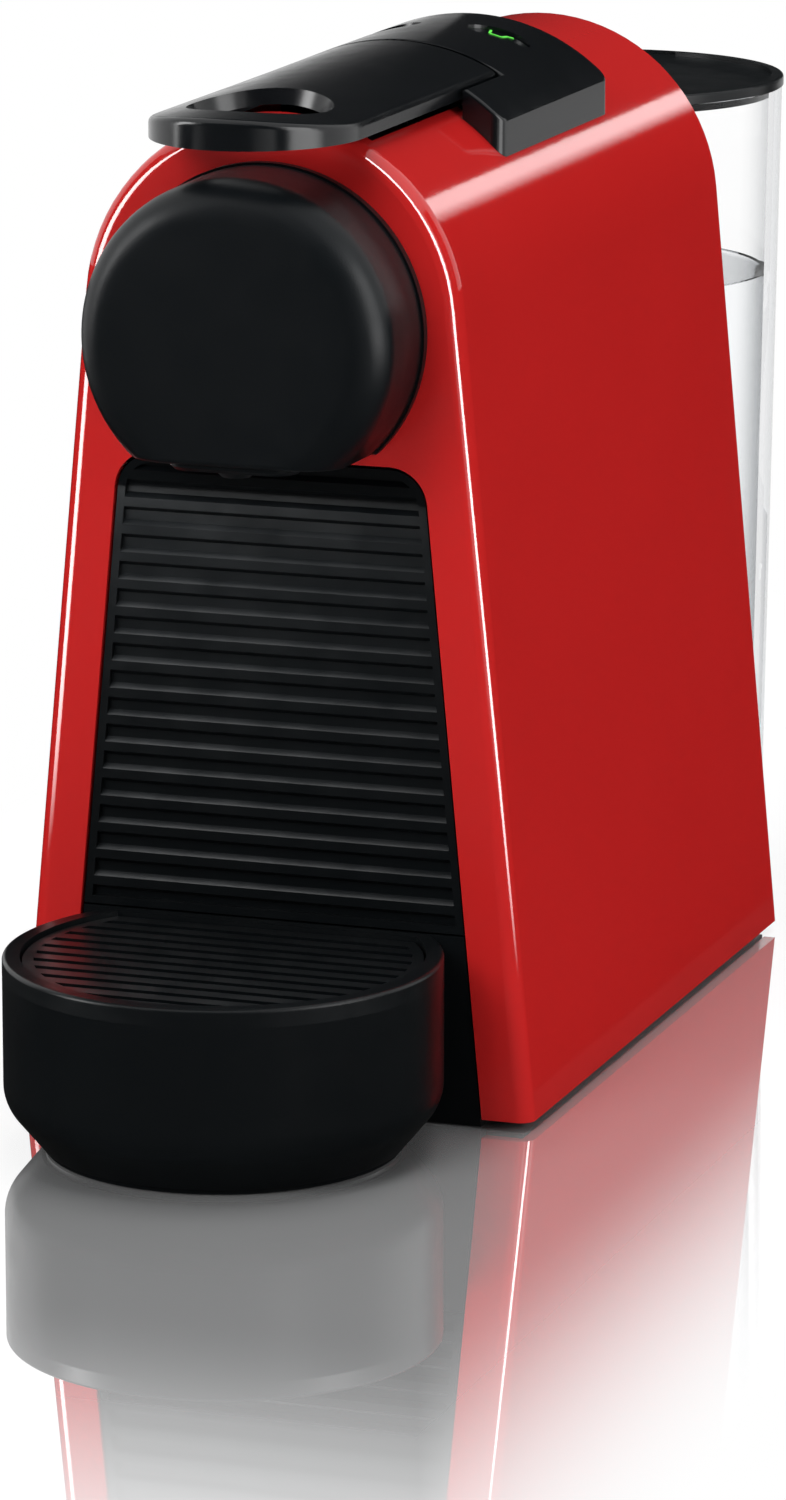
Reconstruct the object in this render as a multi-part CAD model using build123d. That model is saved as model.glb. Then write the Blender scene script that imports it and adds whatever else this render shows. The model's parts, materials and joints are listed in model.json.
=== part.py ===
from build123d import *
import os
from math import asin, atan2, cos, hypot, radians, sin, sqrt, tan

# Compact capsule espresso machine, in millimetres.
# X is to the right, -Y is the front, Z is up, and z = 0 is the worktop.

# General fits
fit_gap = 0.2            # between pieces of one body that are only laid together
slide_gap = 0.5          # between a sliding piece and its guide
shaft_clearance = 0.05   # radial, a turning bore on its pin
overcut = 1.0            # how far a cutter runs past the face it opens

# Outer shell: leaning sides under a tangent arch
body_width = 110.0
body_front_y = -91.5
body_rear_y = 81.2
shell_bottom_z = 1.9
shell_wall = 2.5
arch_radius = 39.8
arch_centre_z = 161.7
shell_edge_radius = 3.2

# Drawer bay in the front face
bay_frame_width = 10.3
bay_corner_radius = 8.0

# Brewing head on the front face
head_axis_z = 159.7
head_base_radius = 32.5
head_front_radius = 32.2
head_length = 25.5
head_edge_radius = 8.0
head_dome = 0.7
head_flat_radius = 1.5
head_chord_drop = 23.7
head_wall = 2.4
head_bore_radius = 22.0
collar_radius = 33.0
collar_length = 1.9

# Coffee spout under the head
spout_setback = 18.5
spout_plate_length = 27.0
spout_plate_width = 11.0
spout_plate_height = 1.4
spout_top_radius = 4.6
spout_tip_radius = 2.9
spout_nozzle_height = 1.3
spout_bore_radius = 1.6
spout_neck_radius = 4.2
spout_neck_height = 6.0

# Crowned top panel and lever
crown_rise = 5.8          # above the top of the shell's arch
crown_radius = 43.6
panel_half_width = 30.5
panel_front_y = -38.0
panel_rear_y = 32.0
panel_corner_radius = 2.6
panel_edge_radius = 0.7
panel_roof = 2.2
seam_gap = 0.45
lever_half_width = 21.2
lever_side_gap = 0.7
lever_rear_y = -15.0
lever_straight_end_y = -96.3
lever_nose_length = 24.7
lever_underside_drop = 8.6   # this and the next two, below the crown's top
lever_front_crown_drop = 2.5
lever_front_side_drop = 5.2
lever_wall = 2.6
lever_roof = 3.1
lever_edge_radius = 1.4
lever_block_length = 26.0
thumb_hole_y = -96.0
thumb_hole_radius = 14.7
thumb_hole_flare = 0.35
pivot_y = -27.0
pivot_drop = 10.2
pivot_pin_radius = 1.75
pivot_pin_reach = 3.6
barrel_radius = 4.8
lever_travel_deg = 85.0

# Buttons in the top panel
button_x = 12.0
button_y = 14.0
button_half_length = 6.6
button_half_width = 4.8
button_recess = 0.8
button_travel = 1.2
button_flange = 1.0
button_flange_height = 1.2
button_flange_gap = 0.6
button_clearance = 0.3
board_thickness = 1.6
board_post_radius = 1.8
board_post_inset = 2.9
board_end_gap = 1.0
switch_size = 6.0
switch_height = 2.4
switch_tip_radius = 1.7
switch_tip_height = 0.6

# Capsule brewing unit
cheek_gap_half = 21.7
cheek_thickness = 2.4
frame_plate = 2.6
frame_top_z = 188.5
frame_bottom_z = 137.0
frame_rear_y = 3.0
cage_rim_radius = 18.5
cage_rear_radius = 13.0
cage_length = 30.0
cage_rim_length = 3.0
cage_rim_step = 1.0
cage_wall = 2.8
cage_travel = 30.0
cage_rail_height = 5.0
cage_rail_reach = 1.6
rail_gap = 0.4
follower_radius = 2.0
follower_lead = 32.0
follower_drop = 13.0
follower_clearance = 0.35
ear_inner = 3.7
ear_thickness = 2.8
ear_margin = 1.0
cam_half_thickness = 3.0
cam_margin = 2.4
cam_hub_radius = 6.5
water_tube_radius = 2.4
water_tube_bore = 1.2
water_tube_overlap = 1.5
seal_height = 0.7
seal_margin = 0.4
needle_count = 3
needle_disc_gap = 1.5
needle_disc_thickness = 0.8
needle_circle_radius = 5.4
needle_base_radius = 1.2
needle_tip_radius = 0.25
needle_length = 4.7
plate_thickness = 1.0
stud_size = 2.6
stud_pitch = 4.6
stud_height = 0.6
stud_rows = 5

# Drawer: capsule container behind a ribbed front, round drip tray before it
drawer_seam_z = 39.3
drawer_front_recess = 0.6
drawer_front_plate = 2.2
front_frame_edge = 1.6
front_relief = 1.3
rib_count = 16
rib_pitch = 5.6
rib_height = 3.7
rib_first_offset = 3.0
container_side_gap = 1.6
container_wall = 1.8
container_top_z = 121.0
container_rear_y = -20.0
container_floor_gap = 0.5
tray_side_margin = 11.4    # from the side of the body
tray_setback = 27.8
tray_rim_height = 3.7
tray_rim_width = 3.5
tray_rim_edge_radius = 0.8
tray_wall = 2.2
tray_floor = 2.0
tray_bottom_z = 0.3
tray_foot_radius = 36.2
tray_foot_height = 9.0
tray_plinth_radius = 35.4
tray_plinth_height = 1.0
tray_ledge_width = 3.0
tray_ledge_height = 2.0
grid_thickness = 3.6
grid_drop = 1.0
grid_pitch = 5.4
grid_slat = 3.3
grid_rim = 2.2

# Base, feet and tank platform
base_bottom_z = 1.5
base_thickness = 3.0
platform_height = 9.5
foot_radius = 7.0
foot_taper = 0.6
foot_front_margin = 12.0
foot_front_y = -72.0
foot_rear_margin = 0.3
foot_rear_angle = 33.0
guide_rail_width = 2.0
guide_rail_height = 8.0
clip_wall = 2.0
clip_length = 6.0
clip_height = 12.0
clip_floor = 4.0
clip_setback = 3.0

# Water tank, valve and lid
tank_top_radius = 40.9
tank_bottom_radius = 38.2
tank_flat_cut = 2.4
tank_top_z = 181.1
tank_wall = 2.4
tank_floor = 2.5
tank_edge_radius = 3.0
tank_front_gap = 1.6
lid_overhang = 0.3
lid_thickness = 2.2
lid_rim_width = 2.6
lid_recess = 0.9
lid_lip_depth = 2.2
lid_lip_wall = 1.8
lid_notch_width = 12.0
lid_notch_edge = 0.9
lid_edge_radius = 0.7
lid_lip_taper = 0.1
socket_y = 100.0
socket_radius = 9.0
socket_depth = 7.0
socket_bore_radius = 6.2
socket_floor = 1.2
socket_pin_height = 1.0
dock_seal_height = 1.6
dock_seal_lift = 1.0
dock_seal_gap = 0.3
spigot_radius = 5.5
spigot_length = 5.2
valve_flange_radius = 8.0
valve_flange_height = 1.5
valve_bore_radius = 2.6
plunger_radius = 1.7
plunger_head_radius = 4.2
plunger_head_height = 1.5
plunger_travel = 2.0
strainer_height = 10.0
strainer_wall = 1.4
strainer_slots = 6
strainer_slot_width = 2.2
strainer_slot_height = 5.5

# Works inside the shell
pump_x = -21.0
pump_z = 31.0
pump_coil_width = 34.0
pump_coil_length = 36.0
pump_coil_bevel = 5.0
pump_coil_front_y = 4.0
coil_groove_count = 4
coil_groove_width = 2.4
coil_groove_depth = 1.2
pump_barrel_radius = 8.0
pump_barrel_length = 16.0
pump_inlet_radius = 6.5
pump_inlet_length = 12.0
pump_outlet_setback = 10.0
saddle_length = 7.0
saddle_wall = 4.0
saddle_front_setback = 15.0
saddle_rear_gap = 3.0
nozzle_radius = 3.0
nozzle_length = 6.0
heater_half_width = 20.0
heater_length = 42.0
heater_height = 40.0
heater_fin = 2.0
heater_groove_count = 3
heater_edge_radius = 6.0
thermostat_radius = 7.0
thermostat_height = 4.5
thermostat_setback = 8.0
tab_x = 4.0
tab_half_width = 1.5
tab_half_thickness = 0.4
tab_height = 9.0
meter_x = 20.0
meter_y = 66.0
meter_radius = 8.0
meter_height = 15.0
hose_radius = 3.2
hose_bore = 1.8
hose_bend = 7.0
hose_floor = 0.6
suction_rise = 12.0
pressure_turn_drop = 18.0
rear_panel_thickness = 2.5
rear_panel_recess = 1.5
vent_count = 6
vent_pitch = 6.0
vent_length = 34.0
vent_height = 2.4
vent_first_drop = 12.0
gland_side_margin = 11.6
gland_z = 24.0
gland_radius = 5.0
gland_bore = 3.4
gland_flange = 1.6
gland_inner_length = 4.0
gland_outer_length = 2.0
screw_radius = 1.4
screw_head_radius = 2.8
screw_head_height = 1.6
screw_length = 12.0
screw_drive_span = 3.2
screw_drive_width = 0.8
screw_drive_depth = 0.9
boss_radius = 4.3
boss_sink = 0.6
lower_screw_z = 34.0
upper_screw_angle = 52.0
circuit_side_margin = 25.0
circuit_front_y = 0.0
circuit_length = 60.0
circuit_height = 78.0
relay_depth = 14.0
relay_length = 20.0
relay_height = 16.0
relay_y = 6.0
relay_z = 50.0
transformer_depth = 16.0
transformer_length = 22.0
transformer_height = 24.0
transformer_y = 32.0
transformer_z = 44.0
terminal_depth = 9.0
terminal_length = 26.0
terminal_height = 9.0
terminal_y = 28.0
terminal_z = 24.0
capacitor_radius = 5.0
capacitor_length = 13.0
capacitor_y = 16.0
capacitor_z = 34.0

# Values that follow from the driving dimensions
foot_half_width = body_width / 2
arch_rise = arch_centre_z - shell_bottom_z
side_lean = atan2(foot_half_width, arch_rise) - asin(arch_radius / hypot(foot_half_width, arch_rise))
head_bottom_z = head_axis_z - head_chord_drop
head_front_y = body_front_y - head_length
spout_y = body_front_y - spout_setback
spout_tip_z = head_bottom_z - spout_plate_height - spout_nozzle_height
bay_top_z = spout_tip_z
crown_top_z = arch_centre_z + arch_radius + crown_rise
crown_centre_z = crown_top_z - crown_radius
lever_underside_z = crown_top_z - lever_underside_drop
lever_front_crown_z = crown_top_z - lever_front_crown_drop
lever_front_side_z = crown_top_z - lever_front_side_drop
pivot_z = crown_top_z - pivot_drop
arm_inner = lever_half_width + lever_side_gap
lever_nose_y = lever_straight_end_y - lever_nose_length
base_top_z = base_bottom_z + base_thickness
platform_top_z = base_top_z + platform_height
tank_bottom_z = platform_top_z + fit_gap
tank_front_y = body_rear_y + tank_front_gap
tank_centre_y = tank_front_y + tank_top_radius - tank_flat_cut
lid_radius = tank_top_radius + lid_overhang
lid_front_y = tank_front_y - lid_overhang
foot_rear_reach = tank_bottom_radius - foot_radius - foot_rear_margin
foot_rear_x = foot_rear_reach * cos(radians(foot_rear_angle))
foot_rear_y = tank_centre_y + foot_rear_reach * sin(radians(foot_rear_angle))
base_half_width = foot_half_width - (base_top_z - shell_bottom_z) * tan(side_lean) - shell_wall - fit_gap
foot_front_x = base_half_width - foot_front_margin
gland_x = gland_side_margin - foot_half_width + (gland_z - shell_bottom_z) * tan(side_lean)
circuit_x = foot_half_width - circuit_side_margin
rear_panel_back_y = body_rear_y - rear_panel_recess
rear_panel_front_y = rear_panel_back_y - rear_panel_thickness
frame_front_y = body_front_y + shell_wall + fit_gap
plate_face_y = frame_front_y + frame_plate + plate_thickness + stud_height
cage_front_y = plate_face_y + seal_height + 2 * fit_gap
cage_rear_y = cage_front_y + cage_length
follower_y = pivot_y - follower_lead
follower_z = pivot_z - follower_drop
drawer_face_y = body_front_y + drawer_front_recess
drawer_back_y = drawer_face_y + front_relief + drawer_front_plate
front_inset = bay_frame_width + slide_gap
container_inset = bay_frame_width + container_side_gap
container_bottom_z = base_top_z + container_floor_gap
tray_back_y = drawer_face_y - fit_gap
tray_radius = foot_half_width - tray_side_margin
tray_centre_y = tray_back_y - tray_setback
tray_parting_z = drawer_seam_z - tray_rim_height
grid_top_z = drawer_seam_z - grid_drop
grid_bottom_z = grid_top_z - grid_thickness
ledge_top_z = grid_bottom_z - fit_gap
heater_front_y = frame_rear_y
heater_rear_y = heater_front_y + heater_length
lever_swing = hypot(lever_rear_y - pivot_y, pivot_drop)
room_half = button_x + button_half_length + button_flange
room_front_y = pivot_y + lever_swing + 2 * panel_roof
room_rear_y = panel_rear_y - 2 * panel_roof
room_side_z = crown_centre_z + sqrt((crown_radius - panel_roof) ** 2 - room_half ** 2)
flange_top_z = room_side_z - button_flange_gap
flange_bottom_z = flange_top_z - button_flange_height
switch_top_z = flange_bottom_z - button_travel - fit_gap
board_top_z = switch_top_z - switch_height - switch_tip_height
pump_coil_rear_y = pump_coil_front_y + pump_coil_length
pump_outlet_y = pump_coil_front_y - pump_outlet_setback
hose_exit_z = platform_top_z - socket_depth + hose_radius + hose_floor
tank_floor_z = tank_bottom_z + tank_floor
circuit_rear_y = circuit_front_y + circuit_length
circuit_bottom_z = base_top_z + clip_floor


def prism_y(face, front_y, rear_y):
    """Carry a face drawn in the front view from front_y back to rear_y."""
    return extrude(Pos(0, rear_y, 0) * (Plane.XZ * face), amount=rear_y - front_y)


def prism_x(face, left_x, right_x):
    """Carry a face drawn in the side view, as (y, z), from left_x to right_x."""
    return extrude(Pos(left_x, 0, 0) * (Plane.YZ * face), amount=right_x - left_x)


def prism_z(face, low_z, high_z):
    """Carry a face drawn in plan from low_z up to high_z."""
    return extrude(Pos(0, 0, low_z) * face, amount=high_z - low_z)


def bar_y(radius, front_y, rear_y, x=0.0, z=0.0):
    return prism_y(Pos(x, z) * Circle(radius), front_y, rear_y)


def bar_x(radius, left_x, right_x, y, z):
    return prism_x(Pos(y, z) * Circle(radius), left_x, right_x)


def bar_z(radius, low_z, high_z, x=0.0, y=0.0):
    return prism_z(Pos(x, y) * Circle(radius), low_z, high_z)


def block(x_span, y_span, z_span):
    low = Vector(x_span[0], y_span[0], z_span[0])
    high = Vector(x_span[1], y_span[1], z_span[1])
    size = high - low
    return Pos(*(low + size / 2)) * Box(size.X, size.Y, size.Z)


def both_sides(solid):
    return solid + mirror(solid, about=Plane.YZ)


def turned_y(points, axis_z):
    """Turn an outline of (radius, y) points about an axis along Y at height axis_z."""
    return Pos(0, 0, axis_z) * revolve(make_face(Polyline(*points, close=True)), Axis.Y)


def turned_z(points, x=0.0, y=0.0):
    """Turn an outline of (radius, z) points about an upright axis at (x, y)."""
    return Pos(x, y, 0) * revolve(Plane.XZ * make_face(Polyline(*points, close=True)), Axis.Z)


def side_x(z, inset=0.0):
    """Half width of the leaning side at height z, drawn in by a distance."""
    return foot_half_width - (z - shell_bottom_z) * tan(side_lean) - inset / cos(side_lean)


def crown_z(x, inset=0.0):
    return crown_centre_z + sqrt((crown_radius - inset) ** 2 - x ** 2)


def arch_face(inset, bottom_z):
    """The shell's front outline: leaning sides and a tangent arch, drawn in by a distance."""
    radius = arch_radius - inset
    tangent_x = radius * cos(side_lean)
    tangent_z = arch_centre_z + radius * sin(side_lean)
    foot_x = side_x(bottom_z, inset)
    sides = Polyline((-tangent_x, tangent_z), (-foot_x, bottom_z), (foot_x, bottom_z), (tangent_x, tangent_z))
    arch = ThreePointArc((tangent_x, tangent_z), (0, arch_centre_z + radius), (-tangent_x, tangent_z))
    return make_face(sides + arch)


def bay_face(inset, bottom_z, top_z, corner_radius=0.0):
    """The drawer bay's outline, parallel to the shell's sides."""
    low_x = side_x(bottom_z, inset)
    high_x = side_x(top_z, inset)
    outline = Polyline((-low_x, bottom_z), (low_x, bottom_z), (high_x, top_z), (-high_x, top_z), close=True)
    face = make_face(outline)
    if corner_radius > 0:
        face = fillet(face.vertices().group_by(Axis.Y)[-1], corner_radius)
    return face


def crown_face(half_width, inset, floor_z):
    """Everything under the crown, between two upright sides."""
    top = crown_z(half_width, inset)
    arc = ThreePointArc((half_width, top), (0, crown_top_z - inset), (-half_width, top))
    sides = Polyline((-half_width, top), (-half_width, floor_z), (half_width, floor_z), (half_width, top))
    return make_face(arc + sides)


def tray_plan(radius, back_y):
    """A circle about the tray's centre, cut off straight at the back."""
    depth = back_y - (tray_centre_y - radius)
    keep = Pos(0, back_y - depth / 2) * Rectangle(2 * radius, depth)
    return Pos(0, tray_centre_y) * Circle(radius) & keep


def tank_plan_cut(solid, front_y):
    """Cut a round tank piece off flat at its front."""
    reach = lid_radius * 3
    return solid - block((-reach, reach), (front_y - reach, front_y), (-reach, reach * 3))


def lever_swing_space():
    """The space that the lever's rear edge sweeps about its pivot, with the seam's gap."""
    edge_run = lever_rear_y - pivot_y
    half = lever_half_width + lever_side_gap / 2
    middle = hypot(edge_run, crown_top_z - pivot_z) + seam_gap
    side = hypot(edge_run, crown_z(half) - pivot_z) + seam_gap
    arc = ThreePointArc((half, side), (0, middle), (-half, side))
    sides = Polyline((-half, side), (-half, 0), (half, 0), (half, side))
    return Pos(0, pivot_y, pivot_z) * revolve(make_face(arc + sides), Axis.X)


def screw_places():
    """Centres, as (x, z), of the four screws that hold the rear panel."""
    inset = shell_wall + boss_radius - boss_sink
    reach = arch_radius - inset
    turn = radians(upper_screw_angle)
    upper = (reach * cos(turn), arch_centre_z + reach * sin(turn))
    lower = (side_x(lower_screw_z, inset), lower_screw_z)
    return [(sign * x, z) for x, z in (lower, upper) for sign in (-1, 1)]


def make_outer_shell():
    outer = prism_y(arch_face(0, shell_bottom_z), body_front_y, body_rear_y)
    front_edges = outer.faces().sort_by(Axis.Y)[0].edges()
    rim = front_edges.filter_by(lambda edge: edge.center().Z > shell_bottom_z + shell_wall)
    outer = fillet(rim, shell_edge_radius)
    hollow = prism_y(arch_face(shell_wall, 0), body_front_y + shell_wall, body_rear_y + shell_wall)
    shell = outer - hollow
    shell -= prism_y(bay_face(bay_frame_width, 0, bay_top_z, bay_corner_radius),
                     body_front_y - shell_wall, body_front_y + 2 * shell_wall)
    shell -= bar_y(head_bore_radius, body_front_y - shell_wall, body_front_y + 2 * shell_wall, z=head_axis_z)
    roof = (arch_centre_z + arch_radius / 2, crown_top_z)
    slot_front_y = plate_face_y + fit_gap
    capsule_half = cage_rim_radius + slide_gap
    shell -= block((-capsule_half, capsule_half), (slot_front_y, pivot_y), roof)
    hinge_half = lever_half_width + slide_gap
    swing = lever_swing + 2 * seam_gap
    hinge_front_y = pivot_y - barrel_radius - 2 * seam_gap
    shell -= block((-hinge_half, hinge_half), (hinge_front_y, pivot_y + swing), roof)
    shell -= block((-capsule_half, capsule_half), (pivot_y, panel_rear_y - 2 * shell_wall), roof)
    boss_end_y = rear_panel_front_y - fit_gap
    for x, z in screw_places():
        boss = bar_y(boss_radius, boss_end_y - screw_length, boss_end_y, x, z)
        shell += boss & prism_y(arch_face(shell_wall / 2, 0), body_front_y, body_rear_y)
        shell -= bar_y(screw_radius, boss_end_y - screw_length, boss_end_y, x, z)
    return shell


def make_head_collar():
    ring = bar_y(collar_radius, body_front_y - collar_length, body_front_y, z=head_axis_z)
    ring -= bar_y(head_bore_radius, body_front_y - 2 * collar_length, body_front_y, z=head_axis_z)
    below = block((-collar_radius, collar_radius), (head_front_y, body_front_y), (0, head_bottom_z))
    return ring - below


def head_drum(inset, front_y, rear_y):
    base = head_base_radius - inset
    nose = head_front_radius - inset
    top_y = front_y - head_dome
    sides = Polyline((head_flat_radius, top_y), (0, top_y), (0, rear_y), (base, rear_y), (nose, front_y))
    dome = ThreePointArc((nose, front_y), (nose / 2, front_y - head_dome * 3 / 4), (head_flat_radius, top_y))
    outline = make_face(sides + dome)
    corner = outline.vertices().sort_by_distance((nose, front_y, 0))[0]
    return Pos(0, 0, head_axis_z) * revolve(fillet(corner, head_edge_radius - inset), Axis.Y)


def make_head_cap():
    rear_y = body_front_y - collar_length
    front_y = head_front_y + head_dome
    reach = 2 * head_base_radius
    outer = head_drum(0, front_y, rear_y)
    outer -= block((-reach, reach), (head_front_y - reach, body_front_y), (0, head_bottom_z))
    flat = outer.faces().sort_by(Axis.Z)[0]
    outer = fillet(flat.edges().filter_by(lambda edge: edge.center().Y < rear_y - head_wall), head_wall / 2)
    inner = head_drum(head_wall, front_y + head_wall, rear_y + head_wall)
    floor_z = head_bottom_z + head_wall
    inner -= block((-reach, reach), (head_front_y - reach, body_front_y + reach), (0, floor_z))
    cap = outer - inner
    return cap - bar_z(spout_neck_radius + fit_gap, 0, head_axis_z, 0, spout_y)


def make_coffee_spout():
    plate = prism_z(Pos(0, spout_y) * SlotOverall(spout_plate_length, spout_plate_width),
                    head_bottom_z - spout_plate_height, head_bottom_z)
    plate = chamfer(plate.faces().sort_by(Axis.Z)[0].edges(), spout_plate_height / 2)
    plate_z = head_bottom_z - spout_plate_height
    nozzle_top_z = plate_z + fit_gap
    nozzle = turned_z([(0, nozzle_top_z), (spout_top_radius, nozzle_top_z), (spout_tip_radius, spout_tip_z),
                       (0, spout_tip_z)], 0, spout_y)
    neck = bar_z(spout_neck_radius, plate_z, head_bottom_z + spout_neck_height, 0, spout_y)
    return plate + nozzle + neck - bar_z(spout_bore_radius, 0, head_axis_z, 0, spout_y)


def make_top_panel():
    seat = arch_radius + fit_gap / 4
    body = prism_y(crown_face(panel_half_width, 0, arch_centre_z), panel_front_y, panel_rear_y)
    body -= bar_y(seat, panel_front_y, panel_rear_y, z=arch_centre_z)
    corners = body.edges().filter_by(Axis.Z)
    body = fillet(corners, panel_corner_radius)
    body -= block((-arm_inner, arm_inner), (panel_front_y - overcut, lever_rear_y + seam_gap),
                  (0, crown_top_z + overcut))
    roof = body.faces().filter_by(GeomType.CYLINDER).sort_by(Axis.Z)[-1]
    body = fillet(roof.edges(), panel_edge_radius)
    body -= lever_swing_space()
    body -= prism_y(crown_face(room_half, panel_roof, arch_centre_z), room_front_y, room_rear_y)
    for x in (-button_x, button_x):
        hole = Ellipse(button_half_length + button_clearance, button_half_width + button_clearance)
        body -= prism_z(Pos(x, button_y) * hole, arch_centre_z, crown_top_z)
    post_x = room_half - board_post_inset
    for y in (room_front_y + board_post_inset, room_rear_y - board_post_inset):
        post = bar_z(board_post_radius, board_top_z, crown_z(post_x, panel_roof / 2), post_x, y)
        body += both_sides(post)
    pin_end = arm_inner + pivot_pin_reach
    return body - bar_x(pivot_pin_radius, -pin_end, pin_end, pivot_y, pivot_z)


def make_button(x):
    oval = Pos(x, button_y) * Ellipse(button_half_length, button_half_width)
    cap = prism_z(oval, flange_bottom_z, crown_top_z)
    cap &= prism_y(crown_face(panel_half_width, button_recess, arch_centre_z), panel_front_y, panel_rear_y)
    flange = Ellipse(button_half_length + button_flange - button_clearance, button_half_width + button_flange)
    return cap + prism_z(Pos(x, button_y) * flange, flange_bottom_z, flange_top_z)


def make_button_board():
    half = button_x + switch_size
    return block((-half, half), (room_front_y, room_rear_y - board_end_gap),
                 (board_top_z - board_thickness, board_top_z))


def make_switches():
    pair = []
    for x in (-button_x, button_x):
        square = Pos(x, button_y) * Rectangle(switch_size, switch_size)
        body = prism_z(square, board_top_z, board_top_z + switch_height)
        pair.append(body + bar_z(switch_tip_radius, board_top_z, switch_top_z, x, button_y))
    return Compound(children=pair)


def lever_section(y, side_z, top_z, inset):
    """Lever cross-section at y: flat below, upright sides, crowned top."""
    half = lever_half_width - inset
    low = lever_underside_z - inset
    arc = ThreePointArc((half, side_z), (0, top_z), (-half, side_z))
    sides = Polyline((-half, side_z), (-half, low), (half, low), (half, side_z))
    return Pos(0, y, 0) * (Plane.XZ * make_face(arc + sides))


def lever_form(inset, roof, rear_y):
    """Crowned bar that flattens towards its round nose."""
    rear = lever_section(lever_rear_y, crown_z(lever_half_width) - roof, crown_top_z - roof, inset)
    nose = lever_section(lever_nose_y, lever_front_side_z - roof, lever_front_crown_z - roof, inset)
    bar = loft([rear, nose])
    half = lever_half_width - inset
    straight = rear_y - lever_straight_end_y
    plan = Pos(0, lever_straight_end_y) * Ellipse(half, lever_nose_length - inset)
    plan += Pos(0, lever_straight_end_y + straight / 2) * Rectangle(2 * half, straight)
    return bar & prism_z(plan, lever_underside_z - 2 * lever_wall, crown_top_z + lever_wall)


def make_lever():
    lever = lever_form(0, 0, lever_rear_y)
    above_z = lever_underside_z + lever_wall
    tops = lever.edges().filter_by(lambda e: e.center().Z > above_z and not is_upright(e))
    lever = fillet(tops, lever_edge_radius)
    block_front_y = lever_rear_y - lever_block_length
    lever -= lever_form(lever_wall, lever_roof, block_front_y)
    low_z = lever_underside_z - lever_wall
    high_z = crown_top_z + lever_wall
    hole_low = thumb_hole_radius - (lever_front_crown_z - low_z) * thumb_hole_flare
    hole_high = thumb_hole_radius + (high_z - lever_front_crown_z) * thumb_hole_flare
    lever -= turned_z([(0, low_z), (hole_low, low_z), (hole_high, high_z), (0, high_z)], 0, thumb_hole_y)
    barrel_half = lever_half_width - lever_side_gap
    lever += bar_x(barrel_radius, -barrel_half, barrel_half, pivot_y, pivot_z)
    lever += block((-barrel_half, barrel_half), (pivot_y - barrel_radius, pivot_y + barrel_radius),
                   (pivot_z, lever_underside_z + lever_wall))
    slot = cam_half_thickness + fit_gap
    lever -= block((-slot, slot), (lever_rear_y - lever_block_length, lever_rear_y - lever_wall),
                   (pivot_z - 2 * barrel_radius, pivot_z + cam_hub_radius + fit_gap))
    bore_radius = pivot_pin_radius + shaft_clearance
    return lever - bar_x(bore_radius, -lever_half_width, lever_half_width, pivot_y, pivot_z)


def is_upright(edge):
    span = edge.bounding_box().size
    return span.Z > max(span.X, span.Y)


def cam_point(share):
    """Where the follower lies in the lever's own frame, about the pivot, part way through its travel."""
    angle = radians(lever_travel_deg) * share
    run = cage_travel * share - follower_lead
    return (run * cos(angle) + follower_drop * sin(angle), run * sin(angle) - follower_drop * cos(angle))


def cam_band(half_width):
    """A round-ended band along the follower's path in the lever's own frame."""
    steps = 8
    nudge = 0.01
    left, right = [], []
    for step in range(steps + 1):
        share = step / steps
        place = Vector(*cam_point(share))
        along = (Vector(*cam_point(share + nudge)) - Vector(*cam_point(share - nudge))).normalized()
        across = Vector(-along.Y, along.X) * half_width
        left.append(place + across)
        right.append(place - across)
        if step == 0:
            start_cap = place - along * half_width
    end_cap = place + along * half_width
    edges = Spline(*left) + ThreePointArc(left[-1], end_cap, right[-1])
    edges += Spline(*reversed(right)) + ThreePointArc(right[0], start_cap, left[0])
    return make_face(edges)


def make_lever_cam():
    track_half = follower_radius + follower_clearance
    web_steps = 4
    web = [cam_point(step / web_steps) for step in range(web_steps + 1)]
    face = cam_band(track_half + cam_margin)
    face += make_face(Polyline(*web, (0, 0), close=True))
    face += Circle(cam_hub_radius)
    face -= cam_band(track_half)
    face -= Circle(pivot_pin_radius + shaft_clearance)
    return prism_x(Pos(pivot_y, pivot_z) * face, -cam_half_thickness, cam_half_thickness)


def make_lever_pin():
    end = arm_inner + pivot_pin_reach
    return bar_x(pivot_pin_radius, -end, end, pivot_y, pivot_z)


def make_brew_frame():
    outer = cheek_gap_half + cheek_thickness
    height = (frame_bottom_z, frame_top_z)
    cheek = block((cheek_gap_half, outer), (frame_front_y, frame_rear_y), height)
    rail_half = cage_rail_height / 2 + rail_gap
    cheek -= block((0, 2 * outer), (cage_front_y, cage_rear_y + cage_travel),
                   (head_axis_z - rail_half, head_axis_z + rail_half))
    frame = both_sides(cheek)
    frame += block((-outer, outer), (frame_front_y, frame_front_y + frame_plate), height)
    frame += block((-outer, outer), (frame_rear_y - frame_plate, frame_rear_y),
                   (frame_bottom_z, head_axis_z + heater_height / 2))
    frame -= bar_y(head_bore_radius - frame_plate, frame_front_y - overcut, frame_front_y + 2 * frame_plate,
                   z=head_axis_z)
    frame -= bar_y(water_tube_radius + rail_gap, frame_rear_y - 2 * frame_plate, frame_rear_y + overcut,
                   z=head_axis_z)
    under_arch = prism_y(arch_face(shell_wall + fit_gap, 0), frame_front_y, frame_rear_y)
    return frame & under_arch


def make_extraction_holder():
    seat = head_bore_radius - frame_plate - fit_gap
    rear_y = frame_front_y + frame_plate
    duct_z = head_axis_z - seat / 2
    duct_end_z = head_bottom_z + spout_neck_height + fit_gap
    disc = bar_y(seat, body_front_y - collar_length, rear_y, z=head_axis_z)
    duct = bar_y(spout_neck_radius, spout_y, body_front_y, z=duct_z)
    duct += bar_z(spout_neck_radius, duct_end_z, duct_z, 0, spout_y)
    duct += Pos(0, spout_y, duct_z) * Sphere(spout_neck_radius)
    bore = bar_y(spout_bore_radius, spout_y, rear_y, z=duct_z)
    bore += bar_z(spout_bore_radius, duct_end_z, duct_z, 0, spout_y)
    return disc + duct - bore


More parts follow.
